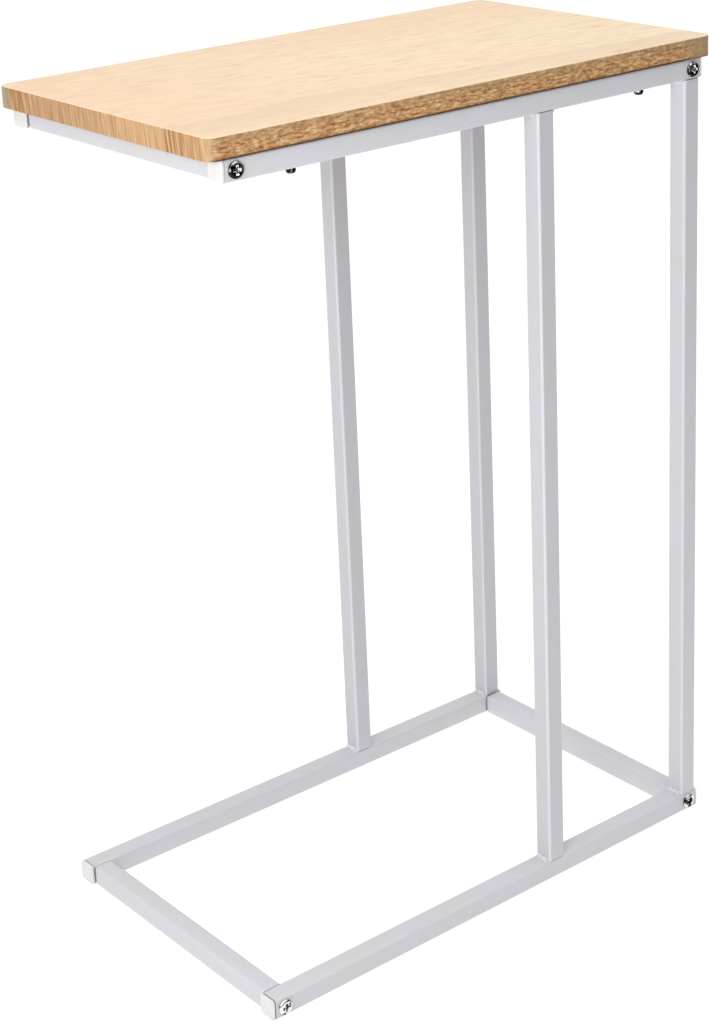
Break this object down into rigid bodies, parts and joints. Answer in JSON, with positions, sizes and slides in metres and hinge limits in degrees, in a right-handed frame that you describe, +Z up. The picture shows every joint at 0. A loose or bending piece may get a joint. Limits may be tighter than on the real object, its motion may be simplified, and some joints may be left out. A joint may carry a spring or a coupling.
{
  "type": "c-shaped side table",
  "caption": "C-shaped side table: a wood-effect top with rounded corners on a knock-down frame of white square steel tube, to slide over the seat of a sofa.",
  "frame": {"origin": "on the floor, in the middle of the table's length and width", "axes": "+Z up, +X along the table's length towards the end where the posts stand, +Y across it towards the rear long side"},
  "size_m": [0.47, 0.2672, 0.66],
  "materials": {
    "oak_foil": "satin printed oak foil, pale on the top and browner on the edges",
    "board_core": "plain pressed-wood panel with a paper backing",
    "white_powder_coat": "white powder coat, satin",
    "white_plastic": "moulded white plastic",
    "bright_steel": "bright plated steel",
    "plain_steel": "dark phosphated steel"
  },
  "bodies": {
    "root": {"front_base_open_end_cap": "white_plastic", "front_base_post_end_cap": "white_plastic", "front_base_rail": "white_powder_coat", "front_board_screws": "bright_steel", "front_corner_post": "white_powder_coat", "front_frame_screws": "bright_steel", "front_frame_welds": "white_powder_coat", "front_inner_post": "white_powder_coat", "front_top_open_end_cap": "white_plastic", "front_top_post_end_cap": "white_plastic", "front_top_rail": "white_powder_coat", "open_end_base_cross_rail": "white_powder_coat", "open_end_base_end_plates": "plain_steel", "open_end_base_nuts": "plain_steel", "open_end_top_cross_rail": "white_powder_coat", "open_end_top_end_plates": "plain_steel", "open_end_top_nuts": "plain_steel", "post_end_base_cross_rail": "white_powder_coat", "post_end_base_end_plates": "plain_steel", "post_end_base_nuts": "plain_steel", "post_end_top_cross_rail": "white_powder_coat", "post_end_top_end_plates": "plain_steel", "post_end_top_nuts": "plain_steel", "rear_base_open_end_cap": "white_plastic", "rear_base_post_end_cap": "white_plastic", "rear_base_rail": "white_powder_coat", "rear_board_screws": "bright_steel", "rear_corner_post": "white_powder_coat", "rear_frame_screws": "bright_steel", "rear_frame_welds": "white_powder_coat", "rear_inner_post": "white_powder_coat", "rear_top_open_end_cap": "white_plastic", "rear_top_post_end_cap": "white_plastic", "rear_top_rail": "white_powder_coat", "top_core": "board_core", "top_foil": "oak_foil"}
  },
  "joints": []
}
